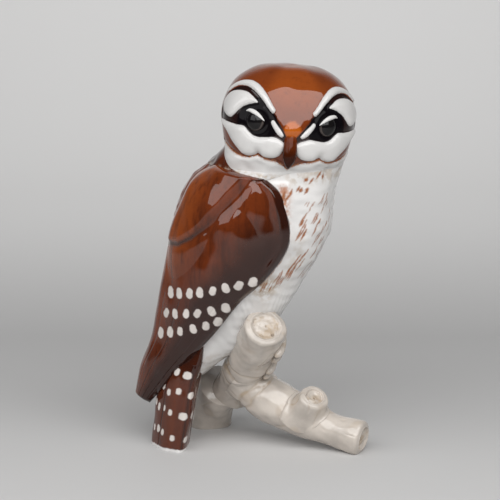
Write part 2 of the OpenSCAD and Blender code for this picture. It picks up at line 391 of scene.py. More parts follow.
class Paint:
    """Nodes of one glaze: a ground colour, painted layers, gloss and a fine ripple."""

    def __init__(self, name):
        self.material = bpy.data.materials.new(name)
        self.material.use_nodes = True
        self.tree = self.material.node_tree
        self.place = self.add("TexCoord").outputs["Object"]
        self.shader = self.tree.nodes["Principled BSDF"]
        self.feed(self.shader, {"IOR": 1.52, "Coat Weight": 0.1, "Coat Roughness": 0.03})
        self.colour = None

    def feed(self, node, inputs):
        """Set a node's inputs to numbers, or join them to other nodes' outputs."""
        for name, value in inputs.items():
            if isinstance(value, bpy.types.NodeSocket):
                self.tree.links.new(value, node.inputs[name])
            else:
                node.inputs[name].default_value = value

    def add(self, kind, inputs=None):
        node = self.tree.nodes.new("ShaderNode" + kind)
        self.feed(node, inputs or {})
        return node

    def noise(self, size_mm, detail=3.0, roughness=0.55, stretch=None):
        place = self.place
        if stretch:
            place = self.add("Mapping", {"Vector": place, "Scale": stretch}).outputs["Vector"]
        node = self.add("TexNoise", {"Vector": place, "Detail": detail, "Roughness": roughness})
        self.feed(node, {"Scale": 1 / (size_mm * MM)})
        return node.outputs["Fac"]

    def cloud(self, size_mm, detail, low, high, out_low=0.0, out_high=1.0):
        """Noise with its middle stretched, from one value to another."""
        return self.ramp(self.noise(size_mm, detail), low, high, out_low, out_high)

    def field(self, name):
        node = self.add("Attribute")
        node.attribute_name = name
        return node.outputs["Fac"]

    def math(self, operation, a, b):
        node = self.add("Math", {0: a, 1: b})
        node.operation = operation
        return node.outputs[0]

    def ramp(self, value, low, high, out_low=0.0, out_high=1.0):
        node = self.add("MapRange", {"Value": value, "From Min": low, "From Max": high})
        self.feed(node, {"To Min": out_low, "To Max": out_high})
        node.interpolation_type = "SMOOTHSTEP"
        return node.outputs["Result"]

    def mix(self, factor, a, b):
        node = self.add("Mix")
        node.data_type = "RGBA"
        a, b = ((*colour, 1) if isinstance(colour, tuple) else colour for colour in (a, b))
        self.feed(node, {"Factor": factor, "A": a, "B": b})
        return node.outputs["Result"]

    def painted(self, field, edge=0.1, wobble=0.12, wobble_size=0.9):
        """1 inside a painted stroke, 0 outside, with a slightly uneven edge."""
        shake = self.math("MULTIPLY", self.math("SUBTRACT", self.noise(wobble_size), 0.5), wobble * 2)
        return self.ramp(self.math("ADD", self.field(field), shake), edge, -edge)

    def shaded(self, field):
        """A field of 0 to 1 with soft ends."""
        return self.ramp(self.field(field), 0.0, 1.0)

    def layer(self, factor, colour):
        self.colour = self.mix(factor, self.colour, colour)

    def broken_layer(self, factor, gaps, colour):
        """A layer that shows only where both factors do."""
        self.layer(self.math("MULTIPLY", factor, gaps), colour)

    def set_gloss(self, specular, coat):
        self.feed(self.shader, {"Specular IOR Level": specular, "Coat Weight": coat})

    def finish(self, rough_low=0.05, rough_high=0.14, ripple=0.12, ripple_size=5.0):
        rough = self.cloud(3.0, 4.0, 0.35, 0.7, rough_low, rough_high)
        waves = self.noise(ripple_size, 2.0)
        bump = self.add("Bump", {"Strength": ripple, "Distance": RIPPLE_DEPTH, "Height": waves})
        self.feed(self.shader, {"Roughness": rough, "Base Color": self.colour})
        self.feed(self.shader, {"Normal": bump.outputs["Normal"]})
        return self.material


def brown_ground(paint):
    """Red-brown glaze with a cloudy tone and speckle, paler orange and darker where its fields say; on
    the wing these are painted reflection and painted shade, and at the tail's top painted shade.
    """
    cloud = paint.cloud(8.0, 4.0, 0.3, 0.72)
    paint.colour = paint.mix(cloud, BROWN, dimmed(BROWN, 0.72))
    paint.layer(paint.shaded("paler"), BROWN_PALE)
    speckle = paint.ramp(paint.noise(1.6, 5.0, 0.7), 0.5, 0.75, 0.0, 0.35)
    paint.layer(speckle, dimmed(BROWN, 0.5))
    paint.layer(paint.shaded("darkened"), BROWN_DARK)


def white_glaze(paint, shade=1.0):
    """Clear glaze on white porcelain, a little darker in patches; a shade below 1 dims it all as painted
    shade.
    """
    cloud = paint.cloud(7.0, 4.0, 0.42, 0.75)
    return paint.mix(cloud, dimmed(WHITE, shade), dimmed(WHITE, 0.93 * shade))


def head_glaze():
    """Brown crown and white face; the black round the eyes is the least glossy."""
    paint = Paint("crown_glaze")
    brown_ground(paint)
    paint.layer(paint.painted("cere", 0.45, 0.35), ORANGE)
    paint.layer(paint.painted("mask", 0.12, 0.12), BROWN_BLACK)
    paint.layer(paint.painted("dark", 0.9, 0.2), BLACK)
    # the face's white is dimmed as painted shade
    paint.layer(paint.painted("white", 0.08, 0.1), white_glaze(paint, 0.86))
    stain = paint.cloud(1.5, 4.0, 0.42, 0.62)
    paint.broken_layer(paint.painted("stain", 1.0, 0.5, 1.5), stain, BEIGE)
    broken = paint.cloud(0.8, 4.0, 0.4, 0.55)
    paint.broken_layer(paint.painted("fray", 0.3, 0.5, 0.8), broken, STREAK)
    shine = paint.ramp(paint.field("dark"), -0.4, 0.4, 0.04, 0.5)
    paint.set_gloss(shine, 0.1)
    return paint.finish(0.03, 0.08, ripple=0.1)


def eye_glaze():
    paint = Paint("eye_glaze")
    cloud = paint.cloud(2.0, 3.0, 0.3, 0.7)
    paint.colour = paint.mix(cloud, BLACK, (0.006, 0.005, 0.005))
    paint.layer(paint.painted("iris", 0.15, 0.1), (0.07, 0.055, 0.05))
    paint.layer(paint.painted("lid", 0.1, 0.1), dimmed(WHITE, 0.9))
    paint.set_gloss(0.3, 0.0)
    return paint.finish(0.02, 0.05, ripple=0.02)


def beak_glaze():
    paint = Paint("beak_glaze")
    cloud = paint.cloud(3.0, 3.0, 0.3, 0.7)
    paint.colour = paint.mix(cloud, dimmed(BROWN, 0.5), dimmed(BROWN, 0.8))
    paint.layer(paint.shaded("orange"), ORANGE)
    paint.layer(paint.shaded("darkened"), BROWN_DARK)
    paint.set_gloss(0.15, 0.0)
    return paint.finish(0.05, 0.12)


def breast_glaze():
    """White with brown strokes, beige stains and painted shade, and the brown of the back."""
    paint = Paint("breast_glaze")
    paint.colour = white_glaze(paint)
    # beige stains, and painted shade under the collar and above the tail
    blotch = paint.cloud(2.4, 4.0, 0.4, 0.62)
    paint.broken_layer(paint.shaded("stain"), blotch, BEIGE)
    wisps = paint.cloud(1.3, 4.0, 0.35, 0.6)
    paint.broken_layer(paint.shaded("shade"), wisps, dimmed(STREAK, 1.3))
    broken = paint.cloud(0.7, 4.0, 0.22, 0.45, 0.3, 1.0)
    paint.broken_layer(paint.painted("streak", 0.3, 0.25, 0.7), broken, STREAK)
    paint.layer(paint.painted("mantle", 0.5, 1.2, 1.2), BROWN)
    return paint.finish(0.05, 0.13, ripple=0.15)


def wing_glaze():
    """Brown brushed down the wing, with white dots."""
    paint = Paint("wing_glaze")
    # its paler and darker layers are the wing's painted reflection and painted shade
    brown_ground(paint)
    brushed = paint.ramp(paint.noise(2.2, 4.0, 0.6, stretch=(1, 1, 0.22)), 0.45, 0.75, 0.0, 0.55)
    paint.layer(brushed, BROWN_DARK)
    paint.layer(paint.painted("dot", 0.22, 0.22, 1.2), DOT_WHITE)
    return paint.finish(0.03, 0.07, ripple=0.12, ripple_size=7.0)


def tail_glaze():
    """Brown with white dots, and a streaked white underside."""
    paint = Paint("tail_glaze")
    brown_ground(paint)
    paint.layer(paint.painted("under", 0.25, 0.4, 1.5), white_glaze(paint))
    broken = paint.cloud(0.9, 4.0, 0.35, 0.6)
    paint.broken_layer(paint.painted("streak", 0.3, 0.4, 0.8), broken, STREAK)
    paint.layer(paint.painted("dot", 0.22, 0.22, 1.2), DOT_WHITE)
    return paint.finish(0.04, 0.1)


def bark_glaze(name="bark_glaze"):
    """Ivory glaze on the branches and the feet, set darker than the white partly as painted shade; beige
    in hollows and creases, partly stain and partly painted shade; stained on sawn ends, with painted
    shade in their pits.
    """
    paint = Paint(name)
    cloud = paint.cloud(9.0, 5.0, 0.36, 0.7)
    paint.colour = paint.mix(cloud, SHADED_IVORY, dimmed(SHADED_IVORY, 0.78))
    # beige: stain in random patches, painted shade in creases and pits
    paint.layer(paint.shaded("stain_and_shade"), BEIGE)
    stain = paint.cloud(3.2, 2.0, 0.36, 0.66)
    paint.broken_layer(paint.painted("cut", 0.4, 0.9, 1.2), stain, BEIGE)
    # painted shade in the sawn faces' pits
    paint.layer(paint.shaded("pit_shade"), dimmed(BEIGE, 0.45))
    return paint.finish(0.06, 0.16, ripple=0.2, ripple_size=2.5)


# ---- the body's outline, which the head and the wings lie against ----

BIRD_TABLE = np.concatenate([smooth_rows(TAIL_ROWS, 40)[:-1], smooth_rows(BODY_ROWS, 120)])


def outline_at(z):
    """Front, back and half width of the tail and the body at a height."""
    return (read_off(BIRD_TABLE[:, [0, k]], z) for k in (1, 2, 3))


def half_width_at(u, z):
    """How far the body or the tail stands out sideways at a place of the side view."""
    front, back, width = outline_at(z)
    fullness = np.where(z < TAIL_TOP, TAIL_FULLNESS, BODY_FULLNESS)
    share = np.clip(np.abs((2 * u - front - back) / (front - back)), 0, 1)
    return width * np.sqrt(1 - share ** (2 / fullness)) ** fullness


# ---- head ----

# the face is drawn on an upright cylinder of this radius about the head's centre
FACE_RADIUS = 19.0
FACE_TURN = math.radians(2.3)
DEGREE = FACE_RADIUS * math.pi / 180
# the face's relief fades out between these angles, in degrees
FACE_FADE = 84
FACE_END = 100
EYE_ANGLE = 33.5
EYE_HEIGHT = -0.1
EYE_RADIUS = 3.1
# how far out the eyes' middles lie in the head, and how far they bulge, as shares
EYE_PLACE = 0.925
EYE_BULGE = 0.68
HEAD_COLUMNS = 600
# rings of the head's grid over the body, and from there up to the dome
COVER_RINGS = 34
JOIN_RINGS = 25
DOME_START = COVER_RINGS + JOIN_RINGS

# the brow, a raised stroke: degrees round from the face's middle, height, half width
BROW = [[19.5, 3.6, 0.75], [24, 5, 0.85], [30, 6.8, 0.95], [38, 8.5, 1], [46, 9.6, 0.95],
        [56, 10.2, 0.85], [66, 9.9, 0.7], [74, 8.8, 0.55], [83, 6.6, 0.35]]
# outlines of the other shapes: degrees, height
FACE_PATCHES = {
    "lobe": [[37, 5.5], [45, 7], [52, 7.8], [60, 8], [69, 7.6], [76, 6.6], [80, 4.8], [80, 2.9],
        [76, 1.2], [70, 0.1], [65, -0.2], [61, 0.3], [57, 1.7], [53, 3.2], [47, 4.4], [42, 5]],
    "lore": [[20, 0.2], [18, 0.9], [14.5, -0.2], [10.5, -1.6], [7, -3.2], [8.5, -3.9], [12.5, -3.2],
        [17, -1.5]],
    "cheek": [[80, -1.6], [66, -1.8], [56, -2], [47, -1.9], [43, -2.7], [38, -4], [32, -4.6], [24, -4.4],
        [16, -4.1], [9, -4.9], [4.8, -6], [5.5, -7.4], [9, -9.2], [14, -10.2], [20, -10.5],
        [26, -10.3], [31, -9.4], [35, -10.2], [42, -10.7], [48, -10.3], [55, -8.6], [61, -7],
        [68, -4.8], [74, -3.2]],
    "mask": [[19, 3], [23, 3.8], [29, 5.6], [36, 7.2], [44, 8.5], [52, 9.2], [60, 9.3], [68, 8.8],
        [76, 7.4], [82, 5.6], [84.5, 3.5], [84.5, 1], [84, -1.1], [80, -1.8], [66, -2], [56, -2.2],
        [47, -2.1], [43, -2.9], [38, -4.2], [32, -4.8], [24, -4.6], [16, -4.3], [9, -5], [5, -5.9],
        [3.4, -4.6], [5, -3.1], [10.4, -0.5], [14, 0.9], [16, 2.1]],
}
# the upper edge of the collar's white: degrees, height
FACE_RIM = [[0, -13.8], [6, -12.5], [14, -11.4], [24, -11.05], [32, -10.2], [41, -11.2],
            [49, -11.3], [57, -10.8], [69, -9.7], [79, -8.7], [90, -7.6]]
# how far round the collar's white goes on the wing's side and the breast's: height, degrees
COLLAR_WING_SIDE = [[-19, 40], [-16.5, 50], [-15.6, 62], [-13.6, 69], [-11, 79], [-7, 88]]
COLLAR_BREAST_SIDE = [[-18, 170], [-7, 88]]
# the collar's lower edge on the body: degrees round from the breast, height
COLLAR_EDGE = [[0, 90.1], [55, 90], [66, 89.3], [76, 87.6], [85, 86.6], [97, 87.7], [110, 88.4],
               [120, 88.8], [134, 89.8], [150, 90.1], [180, 90.1]]
# the face leans: inner marks on the left eye's side stand this many degrees further out
SLIP = 3.2
# the orange patch over the beak: its height, then its half width and half height
CERE_HEIGHT = -1.5
CERE_HALF = [2.2, 2.5]
COLLAR_THICKNESS = 0.45
# the upright axis that angles round the breast are taken about
BREAST_AXIS = 2.0


def on_face(points):
    """Degrees round the face turned into millimetres along it."""
    return [[p[0] * DEGREE, *p[1:]] for p in points]


def face_fields(lon, z):
    """Signed distances to the painted shapes of the face, and places on it."""
    across = np.degrees(lon)
    slip = SLIP * np.interp(across, [0, 12, 25, 50], [0, 1, 1, 0]) * fade(-6.5, -3.5, z)
    s = np.abs(lon - np.radians(slip)) * FACE_RADIUS
    over_rim = z - read_off(on_face(FACE_RIM), s)
    limit = np.where(lon < 0, read_off(COLLAR_WING_SIDE, z), read_off(COLLAR_BREAST_SIDE, z))
    fields = {
        "brow": stroke(s, z, smooth_rows(on_face(BROW), 5 * len(BROW))),
        "cere": np.hypot(s / CERE_HALF[0], (z - CERE_HEIGHT) / CERE_HALF[1]) * 2 - 2,
        "collar": np.maximum(over_rim, s - limit * DEGREE),
        "eye": np.hypot(s - EYE_ANGLE * DEGREE, z - EYE_HEIGHT),
        "s": s,
        "rim": over_rim,
    }
    for name, outline in FACE_PATCHES.items():
        fields[name] = patch(s, z, on_face(outline))
    whites = ("brow", "lobe", "lore", "cheek", "collar")
    white = np.minimum.reduce([fields[name] for name in whites])
    return SimpleNamespace(**fields, white=white)


def face_relief(f, z):
    """How far the face stands out from the plain head, in millimetres."""
    cleft = groove(f.s - 31 * DEGREE, 0.4, 1.3) * fade(-6, -9.5, z)
    cheek = np.where(f.cheek < 0, np.maximum(mound(f.cheek, 1.15, 2.6) + cleft, 0), 0)
    socket = groove(f.eye, 0.6, 4.6) + ridge(f.eye - 3.9, 0.15, 0.7)
    return (
        mound(f.brow, 0.85, 1.0)
        + mound(f.lobe, 1.0, 2.0)
        + mound(f.lore, 0.55, 0.9)
        + cheek
        + np.where(f.lobe < 0.5, 0, socket)
        - 0.25 * fade(0.2, -0.6, f.mask)
        + ridge(f.cere + 2, 0.9, 1.8)
        + 0.35 * fade(0, -1.2, f.collar) * fade(-18.5, -15, z)
        + groove(f.rim - 0.4, 0.25, 0.6) * (f.s < FACE_FADE * DEGREE)
    )


def round_breast(bird):
    """Angles round the body from the middle of its breast."""
    return np.arctan2(bird[..., 1], bird[..., 0] - BREAST_AXIS)


def breast_relief(p, around, z):
    """Soft lumps of the body's surface, which the collar takes over at its lower edge."""
    barbs = np.sin(around * 40 + 2.5 * lumps(p, 9, 5)) * fade(60, 48, z)
    ruff = fade(82, 90, z) * lumps(p * [1, 1, 0.5], 4.5, 9)
    return 0.04 * barbs + 0.22 * ruff + 0.28 * lumps(p, 12, 3) + 0.1 * lumps(p, 4, 4)


def collar_grid(dome):
    """Rings from the collar's lower edge, up over the body and into the head."""
    angle = full_turn(HEAD_COLUMNS) + BODY_TURN - math.pi / 2
    around = np.degrees(np.abs(np.arctan2(np.sin(angle), np.cos(angle))))
    edge = read_off(COLLAR_EDGE, around)
    top = NECK_HEIGHT - 0.6
    lift = np.linspace(0, 1, COVER_RINGS)[:, None]
    z = edge + (top - edge) * lift
    cover = oval(angle, z, *outline_at(z), BODY_FULLNESS)
    outward = np.stack([np.cos(angle), np.sin(angle), np.zeros(HEAD_COLUMNS)], -1)
    share = fade(66, 90, around) * 0.9 + 0.1
    stand = share * COLLAR_THICKNESS * fade(0, 0.3, lift) - 0.5 * fade(0.2, 0, lift)
    cover = from_bird(cover + outward * stand[..., None])
    steps = np.linspace(0, 1, JOIN_RINGS + 1, endpoint=False)[1:, None, None]
    return np.concatenate([cover, cover[-1:] * (1 - steps) + dome[:1] * steps])


def relaxed(p, first, last, rounds):
    """The grid with its rings from first to last evened out along each column."""
    p = p.copy()
    for _ in range(rounds):
        p[first:last] = 0.25 * (p[first - 1 : last - 1] + p[first + 1 : last + 1]) + 0.5 * p[first:last]
    return p


def build_head():
    """The dome with the face's relief, and the collar that laps over the body."""
    half_width, half_depth = HEAD_HALF
    rows = smooth_rows(HEAD_ROWS, 210) * [1, half_depth, -half_depth, half_width]
    dome = on_head(turned(oval_grid(rows, HEAD_COLUMNS, HEAD_FULLNESS), -math.pi / 2))
    p = np.concatenate([collar_grid(dome), dome])
    p = relaxed(p, COVER_RINGS - 4, DOME_START + 7, 40)

    local = to_head(p)
    lon = np.arctan2(local[..., 0], -local[..., 1]) - FACE_TURN
    lon = (lon + np.pi) % (2 * np.pi) - np.pi
    z = local[..., 2]
    f = face_fields(lon, z)
    face = fade(math.radians(FACE_END), math.radians(FACE_FADE), np.abs(lon))
    normals = grid_normals(p)
    bird = to_bird(p)
    # near the body the collar keeps the body's relief
    shared = fade(94.5, 90, p[..., 2]) * (np.arange(len(p)) < DOME_START + 3)[:, None]
    lower = breast_relief(p, round_breast(bird), bird[..., 2])
    plumes = 0.3 * lumps(p * [1, 1, 0.6], 5, 7) * fade(0.5, -2, f.collar) * fade(-11, -13, z)
    upper = face_relief(f, z) * face + plumes + 0.08 * lumps(p, 9.0, 1)
    p = p + normals * (upper * (1 - shared) + lower * shared)[..., None]
    shown = np.abs(lon) < math.radians(FACE_END)
    fields = {
        "white": np.where(shown, f.white, f.collar),
        "mask": np.where(shown, f.mask, AWAY),
        "dark": np.maximum(f.mask, f.eye - 7.2),
        "cere": f.cere,
        "fray": np.abs(f.rim - 0.1) - 0.35 + 2.0 * (f.s > 80 * DEGREE),
        "stain": np.abs(z + 16.3) - 0.5 + 3.0 * (lon > 0),
        "paler": 0.35 * fade(2, 10, z) + 0.3 * fade(14, 6, f.s) * fade(-4, 2, z),
        "darkened": 0.45 * fade(1.2, 0, f.rim) + 0.3 * fade(78, 90, f.s / DEGREE),
    }
    make_piece("head", [p], [fields], head_glaze(), ["head"])


# the white upper lid over each eye: toward the beak, up, and half width
LID_ROWS = [[-3.0, 2.6, 0.12], [-1.8, 2.95, 0.5], [0, 2.55, 0.68], [1.85, 1.6, 0.48], [3.4, 0.5, 0.1]]
# how far its middle line stands out from the eye's middle
LID_STAND = 1.0


def build_eye(name, side, material):
    """A flattened ball with a lid over it; side is -1 for the right eye and 1 for the left."""
    lon = math.radians(EYE_ANGLE) * side + FACE_TURN
    half_width, half_depth = HEAD_HALF * EYE_PLACE
    local = np.array([math.sin(lon) * half_width, -math.cos(lon) * half_depth, EYE_HEIGHT])
    outward = unit(np.array([math.sin(lon), -math.cos(lon), 0.04]))
    across = unit(np.cross(outward, [0, 0, 1]))
    over = np.cross(across, outward)

    polar = np.linspace(0, math.pi, 90)[1:-1, None]
    angle = full_turn(120)
    reach = np.sin(polar) * EYE_RADIUS
    stand = np.cos(polar) * EYE_RADIUS * EYE_BULGE
    ball = (
        local
        + across * (reach * np.cos(angle))[..., None]
        + over * (reach * np.sin(angle))[..., None]
        + outward * stand[..., None]
    )
    iris = np.abs(reach - 0.9 * EYE_RADIUS) - 0.16 + 0.5 * fade(-0.1, 0.7, np.sin(angle))
    iris = np.where(polar < math.pi / 2, iris, 1.0)

    inward, up, half = smooth_rows(LID_ROWS, 60).T
    middle = local + side * across * inward[:, None] + over * up[:, None]
    middle = middle + outward * (LID_STAND + 0.25 * half)[:, None]
    lid = tube_grid(np.hstack([middle, half[:, None]]), 36)

    grids = [on_head(ball[::-1]), on_head(lid)]
    fields = [{"iris": iris[::-1], "lid": 1.0}, {"iris": 1.0, "lid": -1.0}]
    make_piece(name, grids, fields, material, [name])


# the beak: sideways from the head's middle, forward as a share of its half depth, up, radius
BEAK_ROWS = [
    [0.8, -0.87, -2.2, 1.3],
    [0.8, -0.945, -4.6, 1.9],
    [0.85, -0.985, -7.4, 2.05],
    [0.85, -1.0, -9.8, 1.9],
    [0.8, -0.985, -11.6, 1.2],
    [0.75, -0.965, -12.9, 0.3],
]
RIDGE_SIDE = 0.85


def build_beak():
    """A hooked beak with a ridge along it and a dark line between its halves."""
    grid = tube_grid(smooth_rows(BEAK_ROWS, 80) * [1, HEAD_HALF[1], 1, 1], 72)
    z = grid[..., 2]
    aside = grid[..., 0] - RIDGE_SIDE
    grid[..., 1] += groove(aside, 0.08, 0.7) * fade(-2.5, -5, z)
    line = np.abs(z + 9.6 + 0.25 * np.abs(aside)) - 0.12
    fields = {
        "darkened": np.clip(0.8 * fade(-5, -9.5, z) + fade(0.2, -0.1, line), 0, 1),
        "orange": fade(-4, -2.4, z),
    }
    make_piece("beak", [on_head(grid)], [fields], beak_glaze(), ["beak"])


# ---- body and tail ----

# marks on the breast are placed along an arc of this radius
BREAST_RADIUS = 20.0
# clusters of brush marks: degrees round and height, their spreads, marks, length, half width
CLUSTERS = [
    [15, 79, 4, 3, 5, 2.4, 0.16],
    [19, 75, 4, 3, 5, 2.6, 0.2],
    [31, 75, 3, 2, 4, 2.6, 0.24],
    [33, 70, 3, 3, 6, 2.8, 0.26],
    [16, 68, 3, 4, 6, 2.6, 0.2],
    [29, 63, 4, 2, 5, 3.6, 0.24],
    [36, 59.5, 4, 2, 6, 4.2, 0.24],
    [44, 57, 4, 2, 4, 3.6, 0.22],
    [58, 54, 8, 1.5, 5, 2.6, 0.16],
    [52, 60, 6, 3, 7, 4, 0.2],
    [62, 56, 6, 2, 6, 3.4, 0.18],
    [47, 84, 3, 2, 5, 2.2, 0.22],
    [33, 86, 6, 2, 6, 1.4, 0.3],
    [24, 82, 8, 4, 5, 1.4, 0.12],
    [22, 89, 5, 1, 3, 1.2, 0.28],
    [6, 72, 5, 8, 9, 2, 0.16],
    [8, 61, 7, 5, 9, 2.6, 0.18],
]


def streak_field(around, z):
    """Short slanting brush strokes on the breast."""
    random = np.random.default_rng(12)
    arc = around * BREAST_RADIUS
    best = np.full(z.shape, AWAY)
    for side in (-1, 1):
        for place, level, reach, rise, count, length, half in CLUSTERS:
            for _ in range(count):
                x = side * math.radians(place + reach * random.uniform(-1, 1)) * BREAST_RADIUS
                top = level + rise * random.uniform(-1, 1) + length / 2
                run = length * random.uniform(0.6, 1.3)
                lean = side * run * random.uniform(0.3, 0.7)
                width = 1.5 * half * random.uniform(0.6, 1.3)
                near = np.hypot(arc - x, z - top) < 2 * run + 2
                mark = [[x, top, width * 0.4], [x + lean * 0.4, top - run * 0.5, width],
                        [x + lean, top - run, width * 0.2]]
                best[near] = np.minimum(best[near], stroke(arc[near], z[near], mark))
    return best


# the brown of the tail goes on up over the body: its front at the tail's top, and its slope
MANTLE_FRONT = -15.3
MANTLE_SLOPE = 0.35


def breast_stain_and_shade(degrees, z):
    """Stains low on the breast's sides and on the flanks, a band under the collar that is partly stain
    and partly painted shade, and painted shade above the tail.
    """
    low = ridge(degrees - 64, 1.0, 18) * ridge(z - 54, 1.0, 4.2)
    stain_and_shade_under_collar = 0.55 * fade(84, 88, z) * fade(60, 40, degrees)
    shade_above_tail = 0.35 * fade(34, 29, z)
    flanks = ridge(degrees - 36, 0.4, 12) * ridge(z - 64, 1.0, 9)
    return np.clip(low + stain_and_shade_under_collar + shade_above_tail + flanks, 0, 1)


def build_body():
    p = from_bird(oval_grid(smooth_rows(VENT_ROWS + BODY_ROWS, 320), 480, BODY_FULLNESS))
    normals = grid_normals(p)
    local = to_bird(p)
    around = round_breast(local)
    z = local[..., 2]
    degrees = np.degrees(np.abs(around))
    p = p + normals * breast_relief(p, around, z)[..., None]
    over_tail = local[..., 0] - MANTLE_FRONT - MANTLE_SLOPE * (z - TAIL_TOP)
    back = (112 + 45 * fade(58, 45, z) - degrees) * 0.35
    fields = {
        "streak": streak_field(around, z),
        "mantle": np.where(z < 39, over_tail, back),
        # stains, and painted shade under the collar and above the tail
        "stain": breast_stain_and_shade(degrees, z),
        "shade": ridge(degrees - 51, 0.75, 6) * fade(64, 72, z) * fade(88, 85, z),
    }
    make_piece("body", [p], [fields], breast_glaze(), ["body"])


# paint on the tail is measured along this arc from the middle of its back; its brown ends here
TAIL_ARC = 7.5
TAIL_EDGE = math.radians(158) * TAIL_ARC
# the tail runs on up into the body's lower end
TAIL_ROOT = [[33, -13.8, -27.4, 7.4], [37.5, -13, -26, 6.2]]
# heights of the rows of white dots, how far apart the dots are, and their radius
TAIL_DOT_HEIGHTS = (6.4, 13.6, 20.2, 26.4)
TAIL_DOT_STEP = 3.1
TAIL_DOT_RADIUS = 0.8


def tail_dots(arc, z):
    random = np.random.default_rng(5)
    best = np.full(z.shape, AWAY)
    for row, level in enumerate(TAIL_DOT_HEIGHTS):
        for k in range(-6, 7):
            place = (k + 0.5 * (row % 2)) * TAIL_DOT_STEP + random.uniform(-0.35, 0.35)
            drop = -0.12 * abs(place) + random.uniform(-0.6, 0.6)
            size = TAIL_DOT_RADIUS * random.uniform(0.75, 1.2)
            ends = [[place, level + drop - 0.3, size], [place, level + drop + 0.4, size * 0.9]]
            best = np.minimum(best, stroke(arc, z, ends))
    return best


def build_tail():
    """A square-cut tail with quills down its back and a pale underside."""
    local = oval_grid(smooth_rows(TAIL_ROWS + TAIL_ROOT, 260), 300, TAIL_FULLNESS, TAIL_TAPER)
    p = TAIL_ZERO + turned(local, -TAIL_TURN)
    normals = grid_normals(p)
    z = local[..., 2]
    front, back, _ = outline_at(z)
    around = np.arctan2(local[..., 1], (front + back) / 2 - local[..., 0])
    arc = around * TAIL_ARC
    edge = TAIL_EDGE - np.abs(arc)
    quills = np.abs(np.sin(around * 3.2))
    height = groove(quills * 3.0, 0.18, 0.35) + 0.15 * lumps(p, 9, 21) + ridge(edge, 0.3, 0.5)
    p = p + normals * height[..., None]
    barbs = np.abs((z * 0.9 + np.abs(arc) * 1.3 + 0.4 * lumps(p, 5, 23)) % 2.4 - 1.2) - 0.25
    # darker all over and in the quill grooves, and towards the top, where the wing tips lie over it, as
    # painted shade
    darkened = 0.5 + 0.3 * fade(0.3, 0, quills) + 0.3 * fade(20, 28, z)
    fields = {
        "dot": np.where(edge > 0.8, tail_dots(arc, z), AWAY),
        "under": np.minimum(edge, z - 0.9),
        "streak": np.where(edge < -1.0, barbs, AWAY),
        "paler": fade(0.5, 0.9, quills) * 0.25,
        "darkened": np.clip(darkened, 0, 1),
    }
    make_piece("tail", [p], [fields], tail_glaze(), ["tail"])


# ---- wings ----

# the crease below the shoulder feathers, side view
SCAPULAR_EDGE = [[-25, 65.8], [-19, 66.9], [-14, 69.6], [-9.6, 72.8], [-5.2, 76.6], [-1, 81],
                 [2.3, 85], [5.2, 88]]
# rows of white dots: first place and height, last place and height, dots, sag
DOT_ROWS = [
    (-22.4, 51.0, 5.6, 56.9, 8, 0.6),
    (-24.1, 44.2, -3.7, 48.0, 6, 0.3),
    (-26.4, 37.4, -6.1, 43.2, 6, 0.4),
]
DOT_RADIUS = 1.15
# the wing's columns over its outer sheet and back over its inner one
OUTER_COLUMNS = 260
INNER_COLUMNS = 40


def wing_dots(u, z, seed):
    random = np.random.default_rng(seed)
    best = np.full(u.shape, AWAY)
    for first, low, last, high, count, sag in DOT_ROWS:
        for k in range(count):
            t = k / (count - 1)
            x = first + (last - first) * t + random.uniform(-0.3, 0.3)
            level = low + (high - low) * t - sag * math.sin(math.pi * t) + random.uniform(-0.2, 0.2)
            size = DOT_RADIUS * random.uniform(0.85, 1.1)
            lean = random.uniform(-0.1, 0.4)
            ends = [[x - lean, level - 0.5, size], [x + lean, level + 0.6, size * 0.9]]
            best = np.minimum(best, stroke(u, z, ends))
    return best


def wing_sheets(rows, t):
    """Side view of the wing at shares t of the way from its front edge to its back edge,
    and how far its two sheets stand out there."""
    front_u, front_z, back_u, back_z, front, middle, back = (rows[:, k : k + 1] for k in range(7))
    u = front_u + (back_u - front_u) * t
    z = front_z + (back_z - front_z) * t
    bulge = np.sin(np.pi * t)
    drawn = front * (1 - t) + back * t + (middle - (front + back) / 2) * bulge
    under = half_width_at(u, z)
    outer = np.maximum(drawn, under + 1.3 * (1 + bulge))
    inner = np.maximum(outer - WING_THICKNESS * (0.4 + 0.6 * bulge), under - 0.5)
    return u, z, outer, inner


def wing_places(rows, t, u, z, above):
    """Measures over the outer sheet, which its relief and its paint are made from."""
    chord = np.hypot(rows[:, 2] - rows[:, 0], rows[:, 3] - rows[:, 1])[:, None]
    along = np.linspace(0, 1, len(rows))[:, None]
    crease = stroke(u, z, [[*point, 0] for point in SCAPULAR_EDGE])
    return SimpleNamespace(
        along=along,
        from_front=t * chord,
        from_edge=np.minimum(t, 1 - t) * chord,
        above_crease=np.where(above > 0, crease, -crease),
        rear=fade(-4, -14, u),
        lower=fade(0.45, 0.75, along),
        quills=np.abs(np.sin(t * math.pi * 4.5 + 0.3 * np.sin(along * 9))),
    )


def wing_rounding(w):
    """1 over most of the outer sheet, falling to 0 round its edges and its two ends."""
    ends = np.minimum(w.along / 0.035, (1 - w.along) / 0.02)
    rounding = np.sqrt(1 - (1 - np.clip(w.from_edge / 1.8, 0, 1)) ** 2)
    return rounding * np.sqrt(1 - (1 - np.clip(ends, 0, 1)) ** 2)


def wing_relief(w):
    """The shoulder feathers' step and crease, the quills, and the raised rim."""
    step = 1.3 - 0.5 * w.rear
    relief = step * fade(-0.5, 2.8 - 1.0 * w.rear, w.above_crease)
    relief = relief + groove(w.above_crease + 1.1, 0.45, 1.5)
    quills = groove(w.quills * 2.2, 0.14, 0.4) * w.lower
    relief = relief + quills * fade(0, 1.2, w.from_edge)
    rim = ridge(w.from_front - 1.7, 1.0, 1.1) + groove(w.from_front - 4.2, 0.8, 1.4)
    shoulder = fade(0.62, 0.45, w.along) * fade(0.02, 0.12, w.along)
    return relief + 0.55 * rim * shoulder


